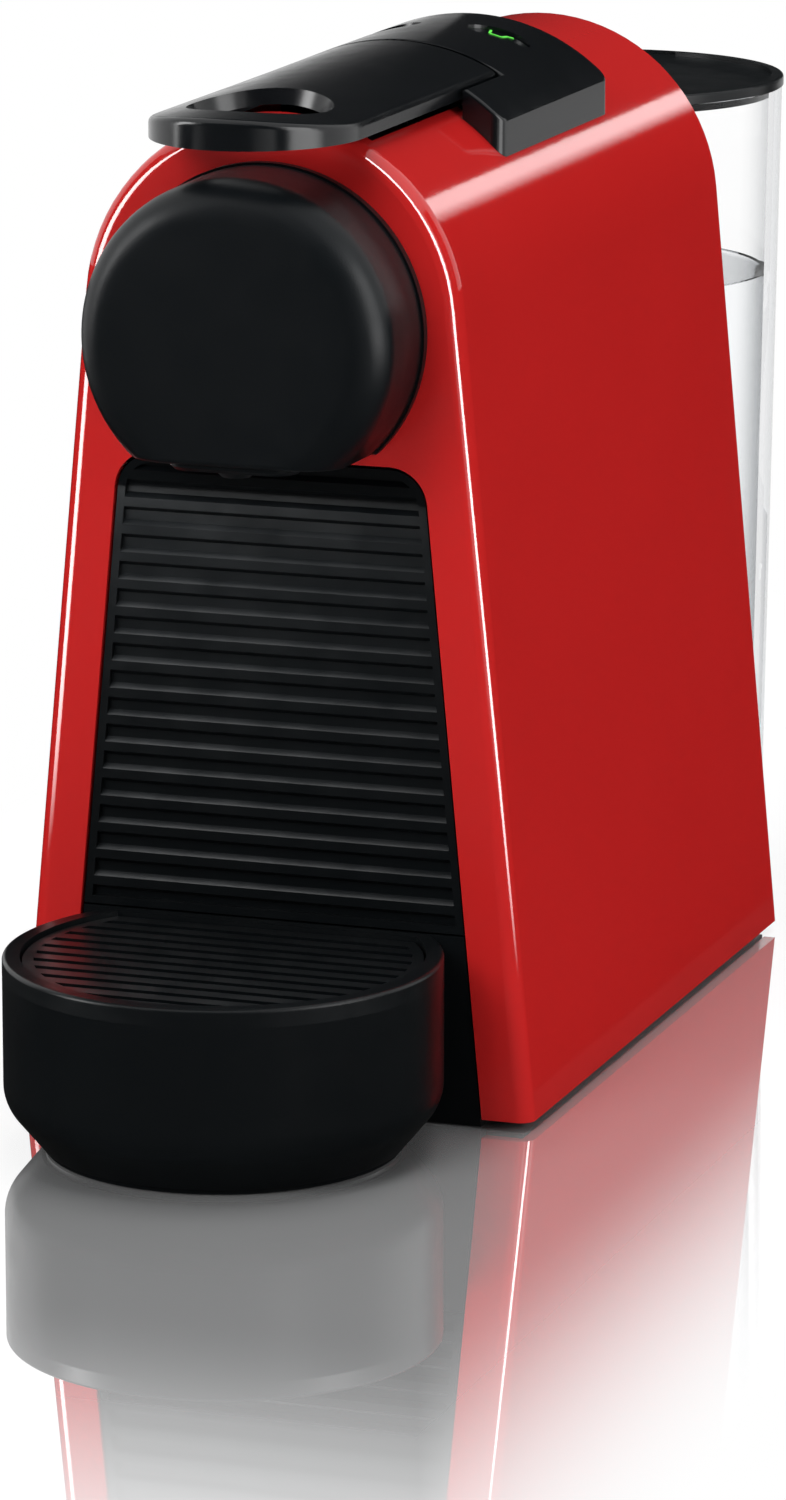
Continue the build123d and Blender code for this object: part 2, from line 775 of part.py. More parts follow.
def make_extraction_plate():
    rear_y = frame_front_y + frame_plate + plate_thickness
    seat = head_bore_radius - frame_plate - fit_gap
    plate = bar_y(seat, rear_y - plate_thickness, rear_y, z=head_axis_z)
    first = -(stud_rows - 1) / 2
    for row in range(stud_rows):
        for column in range(stud_rows):
            x = (first + column) * stud_pitch
            z = head_axis_z + (first + row) * stud_pitch
            plate += prism_y(Pos(x, z) * Rectangle(stud_size, stud_size), rear_y, rear_y + stud_height)
    return plate


def make_capsule_cage():
    rim_y = cage_front_y + cage_rim_length
    back_y = cage_rear_y - cage_wall
    cup = turned_y([(0, cage_rear_y), (cage_rear_radius, cage_rear_y),
                    (cage_rim_radius - cage_rim_step, rim_y), (cage_rim_radius, rim_y),
                    (cage_rim_radius, cage_front_y), (0, cage_front_y)], head_axis_z)
    cup -= turned_y([(0, back_y), (cage_rear_radius - cage_wall, back_y),
                     (cage_rim_radius - cage_wall, cage_front_y), (0, cage_front_y)], head_axis_z)
    rail_end = cheek_gap_half + cage_rail_reach
    rail = block((cage_rear_radius - cage_wall / 2, rail_end), (rim_y, cage_rear_y),
                 (head_axis_z - cage_rail_height / 2, head_axis_z + cage_rail_height / 2))
    hollow_side = bar_y(cage_rear_radius - cage_wall / 2, rim_y, cage_rear_y, z=head_axis_z)
    cup += both_sides(rail - hollow_side)
    ear_half = follower_radius + ear_margin
    ear = block((ear_inner, ear_inner + ear_thickness), (follower_y - ear_half, follower_y + ear_half),
                (head_axis_z + cage_rear_radius - cage_wall / 2, follower_z + ear_half))
    cup += both_sides(ear)
    cup += bar_y(water_tube_radius, back_y, heater_front_y + water_tube_overlap, z=head_axis_z)
    cup -= bar_y(water_tube_bore, back_y - overcut, heater_front_y + 2 * water_tube_overlap, z=head_axis_z)
    ear_end = ear_inner + ear_thickness
    return cup - bar_x(follower_radius, -ear_end, ear_end, follower_y, follower_z)


def make_follower_pin():
    end = ear_inner + ear_thickness
    return bar_x(follower_radius, -end, end, follower_y, follower_z)


def make_cage_seal():
    front_y = cage_front_y - seal_height
    ring = bar_y(cage_rim_radius - seal_margin, front_y, cage_front_y, z=head_axis_z)
    return ring - bar_y(cage_rim_radius - cage_wall + seal_margin, front_y, cage_front_y, z=head_axis_z)


def make_piercing_needles():
    back_y = cage_rear_y - cage_wall
    base_y = back_y - needle_disc_thickness
    tip_y = base_y - needle_length
    disc = bar_y(cage_rear_radius - cage_wall - needle_disc_gap, base_y, back_y, z=head_axis_z)
    disc -= bar_y(water_tube_bore, base_y - overcut, back_y, z=head_axis_z)
    outline = [(0, base_y), (needle_base_radius, base_y), (needle_tip_radius, tip_y), (0, tip_y)]
    for place in PolarLocations(needle_circle_radius, needle_count):
        needle = turned_y(outline, head_axis_z + place.position.Y)
        disc += Pos(place.position.X, 0, 0) * needle
    return disc


def make_container_front():
    low_z = drawer_seam_z + fit_gap
    top_z = bay_top_z - slide_gap - fit_gap
    corner = bay_corner_radius - slide_gap
    plate_y = drawer_face_y + front_relief
    outline = bay_face(front_inset, low_z, top_z, corner)
    window = bay_face(front_inset + front_frame_edge, low_z + front_frame_edge, top_z - front_frame_edge,
                      corner - front_frame_edge)
    front = prism_y(outline, plate_y, drawer_back_y)
    front += prism_y(outline - window, drawer_face_y, plate_y)
    lean = rib_height / 4
    for index in range(rib_count):
        z = low_z + rib_first_offset + index * rib_pitch
        profile = Polyline((plate_y, z), (drawer_face_y, z + lean), (drawer_face_y, z + rib_height - lean),
                           (plate_y, z + rib_height), close=True)
        rib = prism_x(make_face(profile), -foot_half_width, foot_half_width)
        front += rib & prism_y(outline, drawer_face_y, plate_y)
    return front


def make_lower_front():
    plate = bay_face(front_inset, tray_bottom_z, drawer_seam_z - fit_gap)
    return prism_y(plate, drawer_face_y, drawer_back_y)


def make_capsule_container():
    outer = bay_face(container_inset, container_bottom_z, container_top_z)
    inner = bay_face(container_inset + container_wall, container_bottom_z + container_wall,
                     container_top_z + overcut)
    bin_solid = prism_y(outer, drawer_back_y, container_rear_y)
    return bin_solid - prism_y(inner, drawer_back_y + container_wall, container_rear_y - container_wall)


def make_drip_tray():
    foot = tray_radius - tray_foot_radius
    plinth_top_z = tray_bottom_z + tray_plinth_height
    side = bar_z(tray_radius, plinth_top_z, tray_parting_z, 0, tray_centre_y)
    side = chamfer(side.edges().sort_by(Axis.Z)[0], tray_foot_height, foot)
    rounded = side.edges().filter_by(GeomType.CIRCLE).group_by(Axis.Z)[1]
    side = fillet(rounded, tray_foot_height)
    side += bar_z(tray_plinth_radius, tray_bottom_z, plinth_top_z, 0, tray_centre_y)
    keep = prism_z(tray_plan(tray_radius + overcut, tray_back_y), 0, tray_parting_z)
    tray = side & keep
    room_low = tray_bottom_z + tray_floor
    room_radius = tray_radius - tray_wall
    inner = turned_z([(0, room_low), (tray_foot_radius - tray_wall, room_low),
                      (room_radius, room_low + tray_foot_height), (room_radius, tray_parting_z),
                      (0, tray_parting_z)], 0, tray_centre_y)
    tray -= inner & prism_z(tray_plan(tray_radius, tray_back_y - tray_wall), 0, tray_parting_z)
    ledge_radius = tray_radius - tray_rim_width - tray_ledge_width
    ledge = tray_plan(tray_radius - tray_wall / 2, tray_back_y - tray_wall / 2)
    ledge -= tray_plan(ledge_radius, tray_back_y - tray_rim_width - tray_ledge_width)
    return tray + prism_z(ledge, ledge_top_z - tray_ledge_height, ledge_top_z)


def make_tray_rim():
    outer = tray_plan(tray_radius, tray_back_y)
    inner = tray_plan(tray_radius - tray_rim_width, tray_back_y - tray_rim_width)
    rim = prism_z(outer - inner, tray_parting_z, drawer_seam_z)
    top = rim.faces().sort_by(Axis.Z)[-1]
    return fillet(top.outer_wire().edges(), tray_rim_edge_radius)


def make_drip_grid():
    edge = tray_rim_width + slide_gap
    radius = tray_radius - edge
    back_y = tray_back_y - edge
    grid = prism_z(tray_plan(radius, back_y), grid_bottom_z, grid_top_z)
    window = tray_plan(radius - grid_rim, back_y - grid_rim)
    gap = grid_pitch - grid_slat
    depth = back_y - (tray_centre_y - radius) - 2 * grid_rim
    count = int((depth - gap) // grid_pitch) + 1
    start_y = tray_centre_y - radius + grid_rim + (depth - (count - 1) * grid_pitch) / 2
    for index in range(count):
        y = start_y + index * grid_pitch
        gap_face = window & (Pos(0, y) * Rectangle(2 * radius, gap))
        grid -= prism_z(gap_face, grid_bottom_z, grid_top_z)
    return grid


def make_base_plate():
    front_y = drawer_back_y + fit_gap
    base = block((-base_half_width, base_half_width), (front_y, body_rear_y), (base_bottom_z, base_top_z))
    radius = tank_bottom_radius
    round_end = Pos(0, tank_centre_y) * Circle(radius)
    neck = Pos(0, (body_rear_y + tank_centre_y) / 2) * Rectangle(2 * radius, tank_centre_y - body_rear_y)
    base += prism_z(round_end + neck, base_bottom_z, base_top_z)
    raised = round_end + neck
    raised -= Pos(0, body_rear_y + fit_gap - radius) * Rectangle(4 * radius, 2 * radius)
    base += prism_z(raised, base_top_z, platform_top_z)
    base -= bar_z(socket_radius, platform_top_z - socket_depth, platform_top_z + overcut, 0, socket_y)
    base -= bar_y(hose_radius + fit_gap, body_rear_y - overcut, socket_y, z=hose_exit_z)
    rail_x = side_x(container_bottom_z, container_inset) + slide_gap
    rail = block((rail_x, rail_x + guide_rail_width), (front_y + shell_wall, container_rear_y),
                 (base_top_z, base_top_z + guide_rail_height))
    base += both_sides(rail)
    for y in (circuit_front_y + clip_setback, circuit_rear_y - clip_setback - clip_length):
        clip = block((circuit_x - clip_wall, circuit_x + board_thickness + clip_wall), (y, y + clip_length),
                     (base_top_z, base_top_z + clip_height))
        clip -= block((circuit_x - fit_gap / 2, circuit_x + board_thickness + fit_gap / 2),
                      (y - overcut, y + clip_length + overcut),
                      (circuit_bottom_z, base_top_z + clip_height + overcut))
        base += clip
    return base


def make_rubber_feet():
    outline = [(0, 0), (foot_radius - foot_taper, 0), (foot_radius, base_bottom_z), (0, base_bottom_z)]
    places = [(foot_front_x, foot_front_y), (foot_rear_x, foot_rear_y)]
    feet = [turned_z(outline, sign * x, y) for x, y in places for sign in (-1, 1)]
    return Compound(children=feet)


def make_rear_panel():
    face = arch_face(shell_wall + fit_gap, base_top_z + fit_gap)
    panel = prism_y(face, rear_panel_front_y, rear_panel_back_y)
    reach = (rear_panel_front_y - overcut, rear_panel_back_y + overcut)
    for x, z in screw_places():
        panel -= bar_y(screw_radius + fit_gap, *reach, x, z)
    panel -= bar_y(gland_radius, *reach, gland_x, gland_z)
    panel -= bar_y(hose_radius + fit_gap, *reach, 0, hose_exit_z)
    for index in range(vent_count):
        z = head_axis_z - vent_first_drop + index * vent_pitch
        panel -= prism_y(Pos(0, z) * SlotOverall(vent_length, vent_height), *reach)
    return panel


def make_case_screws():
    screws = []
    tip_y = rear_panel_back_y - screw_length
    end_y = rear_panel_back_y + screw_head_height
    cross = Rectangle(screw_drive_span, screw_drive_width) + Rectangle(screw_drive_width, screw_drive_span)
    for x, z in screw_places():
        shank = bar_y(screw_radius - shaft_clearance, tip_y, rear_panel_back_y, x, z)
        head = bar_y(screw_head_radius, rear_panel_back_y, end_y, x, z)
        drive = Pos(x, z) * cross
        screws.append(shank + head - prism_y(drive, end_y - screw_drive_depth, end_y + overcut))
    return Compound(children=screws)


def make_cable_gland():
    inner_y = rear_panel_front_y - gland_inner_length
    outer_y = rear_panel_back_y + gland_outer_length
    body = bar_y(gland_radius, inner_y, rear_panel_back_y, gland_x, gland_z)
    body += bar_y(gland_radius + gland_flange, rear_panel_back_y, outer_y, gland_x, gland_z)
    return body - bar_y(gland_bore, inner_y - overcut, outer_y + overcut, gland_x, gland_z)


def make_tank_socket():
    low_z = platform_top_z - socket_depth
    cup = bar_z(socket_radius - fit_gap, low_z, platform_top_z - fit_gap, 0, socket_y)
    cup -= bar_z(socket_bore_radius, low_z + socket_floor, platform_top_z, 0, socket_y)
    cup += bar_z(plunger_radius, low_z, low_z + socket_floor + socket_pin_height, 0, socket_y)
    wall_end_y = socket_y - socket_bore_radius + overcut
    return cup - bar_y(hose_bore, socket_y - socket_radius, wall_end_y, z=hose_exit_z)


def make_dock_seal():
    low_z = platform_top_z - spigot_length + dock_seal_lift
    top_z = low_z + dock_seal_height
    ring = bar_z(socket_bore_radius, low_z, top_z, 0, socket_y)
    return ring - bar_z(spigot_radius + dock_seal_gap, low_z, top_z, 0, socket_y)


def make_water_tank():
    outer = turned_z([(0, tank_bottom_z), (tank_bottom_radius, tank_bottom_z), (tank_top_radius, tank_top_z),
                      (0, tank_top_z)], 0, tank_centre_y)
    outer = tank_plan_cut(outer, tank_front_y)
    sides = outer.edges().filter_by(lambda e: is_upright(e) and e.center().Y < tank_front_y + tank_wall)
    outer = fillet(sides, tank_edge_radius)
    outer = fillet(outer.faces().sort_by(Axis.Z)[0].edges(), tank_edge_radius / 2)
    slope = (tank_top_radius - tank_bottom_radius) / (tank_top_z - tank_bottom_z)
    inner_low = tank_bottom_radius + slope * tank_floor - tank_wall
    inner = turned_z([(0, tank_floor_z), (inner_low, tank_floor_z), (tank_top_radius - tank_wall, tank_top_z),
                      (0, tank_top_z)], 0, tank_centre_y)
    inner = tank_plan_cut(inner, tank_front_y + tank_wall)
    sides = inner.edges().filter_by(lambda e: is_upright(e) and e.center().Y < tank_front_y + 2 * tank_wall)
    inner = fillet(sides, tank_edge_radius - tank_wall / 2)
    tank = outer - inner
    return tank - bar_z(spigot_radius, tank_bottom_z - overcut, tank_floor_z + overcut, 0, socket_y)


def make_tank_valve():
    flange_top = tank_floor_z + valve_flange_height
    body = bar_z(spigot_radius, tank_bottom_z - spigot_length, tank_floor_z, 0, socket_y)
    body += bar_z(valve_flange_radius, tank_floor_z, flange_top, 0, socket_y)
    return body - bar_z(valve_bore_radius, 0, flange_top + overcut, 0, socket_y)


def make_valve_plunger():
    head_z = tank_floor_z + valve_flange_height + plunger_travel + fit_gap
    pin_top_z = platform_top_z - socket_depth + socket_floor + socket_pin_height
    low_z = pin_top_z + plunger_travel + fit_gap
    return (bar_z(plunger_radius, low_z, head_z, 0, socket_y)
            + bar_z(plunger_head_radius, head_z, head_z + plunger_head_height, 0, socket_y))


def make_strainer():
    low_z = tank_floor_z + valve_flange_height
    top_z = low_z + strainer_height
    cap = bar_z(valve_flange_radius, low_z, top_z, 0, socket_y)
    cap = fillet(cap.faces().sort_by(Axis.Z)[-1].edges(), strainer_wall)
    cap -= bar_z(valve_flange_radius - strainer_wall, low_z - overcut, top_z - strainer_wall, 0, socket_y)
    slot = Box(valve_flange_radius, strainer_slot_width, strainer_slot_height)
    for place in PolarLocations(valve_flange_radius, strainer_slots):
        cap -= Pos(0, socket_y, low_z + strainer_height / 2) * place * slot
    return cap


def make_tank_lid():
    low_z = tank_top_z + fit_gap
    top_z = low_z + lid_thickness
    plate = tank_plan_cut(bar_z(lid_radius, low_z, top_z, 0, tank_centre_y), lid_front_y)
    plate = fillet(plate.faces().sort_by(Axis.Z)[-1].edges(), lid_edge_radius)
    dish = bar_z(lid_radius - lid_rim_width, top_z - lid_recess, top_z + overcut, 0, tank_centre_y)
    dish = tank_plan_cut(dish, lid_front_y + lid_rim_width)
    plate -= dish
    inset = tank_wall + slide_gap
    lip_radius = tank_top_radius - inset - lid_lip_taper
    lip = bar_z(lip_radius, low_z - lid_lip_depth, low_z, 0, tank_centre_y)
    lip = tank_plan_cut(lip, tank_front_y + inset)
    corners = lip.edges().filter_by(Axis.Z)
    lip = fillet(corners, tank_edge_radius)
    room = bar_z(lip_radius - lid_lip_wall, low_z - 2 * lid_lip_depth, low_z, 0, tank_centre_y)
    room = tank_plan_cut(room, tank_front_y + inset + lid_lip_wall)
    lid = plate + (lip - room)
    half = lid_notch_width / 2
    back_y = tank_centre_y + lid_radius
    return lid - block((-half, half), (back_y - lid_rim_width - overcut, back_y - lid_notch_edge),
                       (top_z - lid_recess, top_z + overcut))


def make_pump_body():
    inlet_end_y = pump_coil_rear_y + pump_inlet_length
    barrel_end_y = pump_coil_front_y - pump_barrel_length
    body = bar_y(pump_barrel_radius, barrel_end_y, pump_coil_front_y, pump_x, pump_z)
    body += bar_y(pump_inlet_radius, pump_coil_front_y, inlet_end_y, pump_x, pump_z)
    body += bar_y(nozzle_radius, inlet_end_y, inlet_end_y + nozzle_length, pump_x, pump_z)
    outlet_top_z = pump_z + pump_barrel_radius + nozzle_length
    return body + bar_z(nozzle_radius, pump_z, outlet_top_z, pump_x, pump_outlet_y)


def make_pump_coil():
    width = pump_coil_width
    coil = Pos(pump_x, pump_coil_front_y + pump_coil_length / 2, pump_z) * Box(width, pump_coil_length, width)
    coil = chamfer(coil.edges().filter_by(Axis.Y), pump_coil_bevel)
    coil -= bar_y(pump_inlet_radius, pump_coil_front_y - overcut, pump_coil_rear_y + overcut, pump_x, pump_z)
    core = width - 2 * coil_groove_depth
    groove = Rectangle(width + overcut, width + overcut) - Rectangle(core, core)
    for index in range(coil_groove_count):
        y = pump_coil_front_y + pump_coil_length * (index + 1) / (coil_groove_count + 1)
        coil -= prism_y(Pos(pump_x, pump_z) * groove, y - coil_groove_width / 2, y + coil_groove_width / 2)
    return coil


def make_pump_mounts():
    front = (pump_coil_front_y - saddle_front_setback, pump_barrel_radius)
    rear = (pump_coil_rear_y + saddle_rear_gap, pump_inlet_radius)
    mounts = []
    for y, radius in (front, rear):
        half = radius + saddle_wall
        end_y = y + saddle_length
        saddle = block((pump_x - half, pump_x + half), (y, end_y), (base_top_z, pump_z))
        mounts.append(saddle - bar_y(radius, y - overcut, end_y + overcut, pump_x, pump_z))
    return Compound(children=mounts)


def make_heater_block():
    z_span = (head_axis_z - heater_height / 2, head_axis_z + heater_height / 2)
    heater = block((-heater_half_width, heater_half_width), (heater_front_y, heater_rear_y), z_span)
    heater = fillet(heater.edges().filter_by(Axis.Y), heater_edge_radius)
    ring = Rectangle(2 * heater_half_width + overcut, heater_height + overcut)
    ring -= Rectangle(2 * heater_half_width - 2 * heater_fin, heater_height - 2 * heater_fin)
    for index in range(heater_groove_count):
        y = heater_front_y + heater_length * (index + 1) / (heater_groove_count + 1)
        heater -= prism_y(Pos(0, head_axis_z) * ring, y - 2 * heater_fin, y + 2 * heater_fin)
    depth = cage_travel + 3 * water_tube_overlap
    return heater - bar_y(water_tube_radius + rail_gap, heater_front_y - overcut, heater_front_y + depth,
                          z=head_axis_z)


def make_thermostat():
    top_z = head_axis_z + heater_height / 2
    y = heater_front_y + thermostat_setback
    can = bar_z(thermostat_radius, top_z, top_z + thermostat_height, 0, y)
    tab = block((tab_x - tab_half_width, tab_x + tab_half_width),
                (y - tab_half_thickness, y + tab_half_thickness), (top_z, top_z + tab_height))
    return can + both_sides(tab)


def make_flow_meter():
    top_z = base_top_z + meter_height
    body = bar_z(meter_radius, base_top_z, top_z, meter_x, meter_y)
    return body + bar_z(nozzle_radius, base_top_z, top_z + nozzle_length, meter_x, meter_y)


def hose(points):
    path = FilletPolyline(*points, radius=hose_bend)
    section = Circle(hose_radius) - Circle(hose_bore)
    return sweep(Plane(origin=path @ 0, z_dir=path % 0) * section, path)


def make_inlet_hose():
    start_y = socket_y - socket_radius - fit_gap
    end_x = meter_x - meter_radius - fit_gap
    return hose([(0, start_y, hose_exit_z), (0, meter_y, hose_exit_z), (end_x, meter_y, hose_exit_z)])


def make_suction_hose():
    start_z = base_top_z + meter_height + nozzle_length + fit_gap
    over_z = pump_z + suction_rise
    end_y = pump_coil_rear_y + pump_inlet_length + nozzle_length + fit_gap
    return hose([(meter_x, meter_y, start_z), (meter_x, meter_y, over_z), (pump_x, meter_y, over_z),
                 (pump_x, meter_y, pump_z), (pump_x, end_y, pump_z)])


def make_pressure_hose():
    heater_bottom_z = head_axis_z - heater_height / 2
    start_z = pump_z + pump_barrel_radius + nozzle_length + fit_gap
    turn_z = heater_bottom_z - pressure_turn_drop
    end_x = -heater_half_width / 2
    end_y = heater_front_y + heater_length / 2
    end_z = heater_bottom_z + heater_fin - fit_gap
    return hose([(pump_x, pump_outlet_y, start_z), (pump_x, pump_outlet_y, turn_z), (end_x, end_y, turn_z),
                 (end_x, end_y, end_z)])


def make_control_board():
    return block((circuit_x, circuit_x + board_thickness), (circuit_front_y, circuit_rear_y),
                 (circuit_bottom_z, circuit_bottom_z + circuit_height))


def board_box(depth, y, length, z, height):
    """A component on the board's inner face, placed from the board's lower front corner."""
    low_y = circuit_front_y + y
    low_z = circuit_bottom_z + z
    return block((circuit_x - depth, circuit_x), (low_y, low_y + length), (low_z, low_z + height))


def make_board_components():
    relay = board_box(relay_depth, relay_y, relay_length, relay_z, relay_height)
    transformer = board_box(transformer_depth, transformer_y, transformer_length, transformer_z,
                            transformer_height)
    terminal = board_box(terminal_depth, terminal_y, terminal_length, terminal_z, terminal_height)
    capacitor = bar_x(capacitor_radius, circuit_x - capacitor_length, circuit_x,
                      circuit_front_y + capacitor_y, circuit_bottom_z + capacitor_z)
    return Compound(children=[relay, transformer, capacitor, terminal])


parts = {
    "outer_shell": make_outer_shell(),
    "rear_panel": make_rear_panel(),
    "base_plate": make_base_plate(),
    "rubber_feet": make_rubber_feet(),
    "head_collar": make_head_collar(),
    "head_cap": make_head_cap(),
    "coffee_spout": make_coffee_spout(),
    "top_panel": make_top_panel(),
    "button_board": make_button_board(),
    "button_switches": make_switches(),
    "lever_pin": make_lever_pin(),
    "brew_frame": make_brew_frame(),
    "extraction_holder": make_extraction_holder(),
    "extraction_plate": make_extraction_plate(),
    "heater_block": make_heater_block(),
    "thermostat": make_thermostat(),
    "pump_body": make_pump_body(),
    "pump_coil": make_pump_coil(),
    "pump_mounts": make_pump_mounts(),
    "flow_meter": make_flow_meter(),
    "inlet_hose": make_inlet_hose(),
    "suction_hose": make_suction_hose(),
    "pressure_hose": make_pressure_hose(),
    "control_board": make_control_board(),
    "board_components": make_board_components(),
    "tank_socket": make_tank_socket(),
    "dock_seal": make_dock_seal(),
    "cable_gland": make_cable_gland(),
    "case_screws": make_case_screws(),
    "lever": make_lever(),
    "lever_cam": make_lever_cam(),
    "capsule_cage": make_capsule_cage(),
    "cage_seal": make_cage_seal(),
    "piercing_needles": make_piercing_needles(),
    "follower_pin": make_follower_pin(),
    "espresso_button": make_button(button_x),
    "lungo_button": make_button(-button_x),
    "container_front": make_container_front(),
    "lower_front": make_lower_front(),
    "capsule_container": make_capsule_container(),
    "drip_tray": make_drip_tray(),
    "tray_rim": make_tray_rim(),
    "drip_grid": make_drip_grid(),
    "water_tank": make_water_tank(),
    "tank_valve": make_tank_valve(),
    "valve_plunger": make_valve_plunger(),
    "tank_strainer": make_strainer(),
    "tank_lid": make_tank_lid(),
}

os.makedirs("parts", exist_ok=True)
for node, solid in parts.items():
    export_step(solid, f"parts/{node}.step")
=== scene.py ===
import json
from math import cos, pi, radians, sin, sqrt, tan

import bpy
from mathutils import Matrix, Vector


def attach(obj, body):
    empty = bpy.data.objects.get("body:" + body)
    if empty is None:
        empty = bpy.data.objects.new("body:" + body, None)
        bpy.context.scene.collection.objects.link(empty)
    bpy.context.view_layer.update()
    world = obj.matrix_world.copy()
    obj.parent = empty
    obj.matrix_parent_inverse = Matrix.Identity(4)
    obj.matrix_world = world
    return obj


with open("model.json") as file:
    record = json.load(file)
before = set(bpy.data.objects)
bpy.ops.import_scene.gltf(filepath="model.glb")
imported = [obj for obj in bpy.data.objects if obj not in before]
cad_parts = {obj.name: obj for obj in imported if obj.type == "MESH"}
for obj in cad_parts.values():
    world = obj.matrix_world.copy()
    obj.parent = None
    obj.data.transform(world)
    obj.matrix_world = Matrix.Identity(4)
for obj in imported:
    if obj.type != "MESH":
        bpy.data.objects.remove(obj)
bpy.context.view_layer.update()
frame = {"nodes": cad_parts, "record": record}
nodes = frame["nodes"]
MM = 0.001

# Camera, as fitted to the photograph
CAMERA_AZIMUTH = radians(19.37)
CAMERA_ELEVATION = radians(13.06)
CAMERA_PLACE = Vector((0.47917, -1.38085, 0.39337))
CAMERA_LENS = 169.79
SENSOR = 36.0


def build_camera():
    data = bpy.data.cameras.new("camera")
    data.lens = CAMERA_LENS
    data.sensor_width = SENSOR
    camera = bpy.data.objects.new("camera", data)
    bpy.context.scene.collection.objects.link(camera)
    back = Vector((sin(CAMERA_AZIMUTH) * cos(CAMERA_ELEVATION),
                   -cos(CAMERA_AZIMUTH) * cos(CAMERA_ELEVATION),
                   sin(CAMERA_ELEVATION)))
    camera.location = CAMERA_PLACE
    camera.rotation_euler = back.to_track_quat("Z", "Y").to_euler()
    bpy.context.scene.camera = camera


# The part of a noise pattern's 0 to 1 that is spread over a look's own range
NOISE_LOW, NOISE_HIGH = 0.25, 0.75
# Where the painted shade on clear plastic and water is full, seen edge on, and how uneven that painted shade
# is
FULL_EDGE = 0.95
EDGE_UNEVEN = 0.04


class Look:
    """A node material round one Principled shader; colours are linear."""

    def __init__(self, name, **sockets):
        self.material = bpy.data.materials.new(name)
        self.material.use_nodes = True
        self.tree = self.material.node_tree
        self.shader = self.tree.nodes["Principled BSDF"]
        for socket, value in sockets.items():
            self.shader.inputs[socket.replace("_", " ")].default_value = value
        self.place = self.node("ShaderNodeTexCoord").outputs["Object"]

    def node(self, kind, **inputs):
        made = self.tree.nodes.new(kind)
        for socket, value in inputs.items():
            made.inputs[socket.replace("_", " ")].default_value = value
        return made

    def link(self, source, target):
        self.tree.links.new(source, target)

    def stretched(self, scale):
        """Object coordinates scaled unevenly, for grain that runs one way."""
        mapping = self.node("ShaderNodeMapping", Scale=scale)
        self.link(self.place, mapping.inputs["Vector"])
        return mapping.outputs["Vector"]

    def noise(self, scale, detail=2.0, place=None):
        made = self.node("ShaderNodeTexNoise", Scale=scale, Detail=detail)
        self.link(place or self.place, made.inputs["Vector"])
        return made.outputs["Fac"]

    def spread(self, factor, low, high):
        """Map a pattern onto a range of numbers."""
        made = self.node("ShaderNodeMapRange", From_Min=NOISE_LOW, From_Max=NOISE_HIGH,
                         To_Min=low, To_Max=high)
        self.link(factor, made.inputs["Value"])
        return made.outputs["Result"]

    def painted_edge_shade(self, start, scale):
        """0 where the surface faces the eye, up to 1 where it is seen edge on, with a slow unevenness; the
        mask of painted shade on clear plastic and water.
        """
        ramp = self.node("ShaderNodeMapRange", From_Min=start, From_Max=FULL_EDGE)
        self.link(self.node("ShaderNodeLayerWeight", Blend=0.5).outputs["Facing"], ramp.inputs["Value"])
        uneven = self.node("ShaderNodeMath")
        self.link(ramp.outputs["Result"], uneven.inputs[0])
        self.link(self.spread(self.noise(scale), 0.0, EDGE_UNEVEN), uneven.inputs[1])
        return uneven.outputs["Value"]

    def colour(self, factor, one, two):
        made = self.tree.nodes.new("ShaderNodeMix")
        made.data_type = "RGBA"
        for socket in made.inputs:
            if socket.identifier == "A_Color":
                socket.default_value = (*one, 1)
            if socket.identifier == "B_Color":
                socket.default_value = (*two, 1)
        self.link(factor, made.inputs["Factor"])
        result = [s for s in made.outputs if s.identifier == "Result_Color"][0]
        self.link(result, self.shader.inputs["Base Color"])
        return result

    def roughness(self, factor, low, high):
        self.link(self.spread(factor, low, high), self.shader.inputs["Roughness"])

    def bump(self, height, strength, depth):
        made = self.node("ShaderNodeBump", Strength=strength, Distance=depth)
        self.link(height, made.inputs["Height"])
        self.link(made.outputs["Normal"], self.shader.inputs["Normal"])


# Scales of the slow colour drift and of the uneven gloss on moulded plastic, and the strength of its grain
DRIFT_SCALE = 22.0
GLOSS_SCALE = 140.0
MOULD_DETAIL = 3.0
GRAIN_STRENGTH = 0.35


def moulded(name, dark, light, rough, grain, depth, **sockets):
    """Moulded plastic: slow colour drift, uneven gloss and a fine surface grain."""
    look = Look(name, **sockets)
    look.colour(look.noise(DRIFT_SCALE, MOULD_DETAIL), dark, light)
    look.roughness(look.noise(GLOSS_SCALE, MOULD_DETAIL), *rough)
    look.bump(look.noise(grain), GRAIN_STRENGTH, depth)
    return look.material


def red_gloss():
    return moulded("shell_red", (0.43, 0.0125, 0.012), (0.47, 0.0145, 0.014),
                   (0.07, 0.10), 420.0, 0.00003, Specular_IOR_Level=0.8)


def satin_black():
    return moulded("satin_black", (0.0026, 0.0036, 0.0044), (0.0040, 0.0052, 0.0062),
                   (0.32, 0.42), 2600.0, 0.00005, Specular_IOR_Level=0.22)


def gloss_black():
    return moulded("gloss_black", (0.0026, 0.0033, 0.0040), (0.0038, 0.0046, 0.0055),
                   (0.16, 0.22), 900.0, 0.00002, Specular_IOR_Level=0.42)


def moulded_black():
    return moulded("moulded_black", (0.0024, 0.0032, 0.0038), (0.0036, 0.0046, 0.0053),
                   (0.28, 0.38), 2200.0, 0.00004, Specular_IOR_Level=0.28)


def inner_black():
    return moulded("inner_black", (0.0090, 0.0095, 0.0105), (0.0130, 0.0135, 0.0145),
                   (0.42, 0.55), 1800.0, 0.00005, Specular_IOR_Level=0.3)


def valve_grey():
    return moulded("valve_grey", (0.27, 0.28, 0.29), (0.33, 0.34, 0.35), (0.40, 0.52), 1800.0, 0.00004)


def component_black():
    return moulded("component_black", (0.020, 0.020, 0.022), (0.035, 0.035, 0.040),
                   (0.35, 0.5), 1500.0, 0.00004)


def soft_rubber():
    return moulded("soft_rubber", (0.012, 0.012, 0.012), (0.020, 0.020, 0.020),
                   (0.70, 0.85), 1200.0, 0.00008)


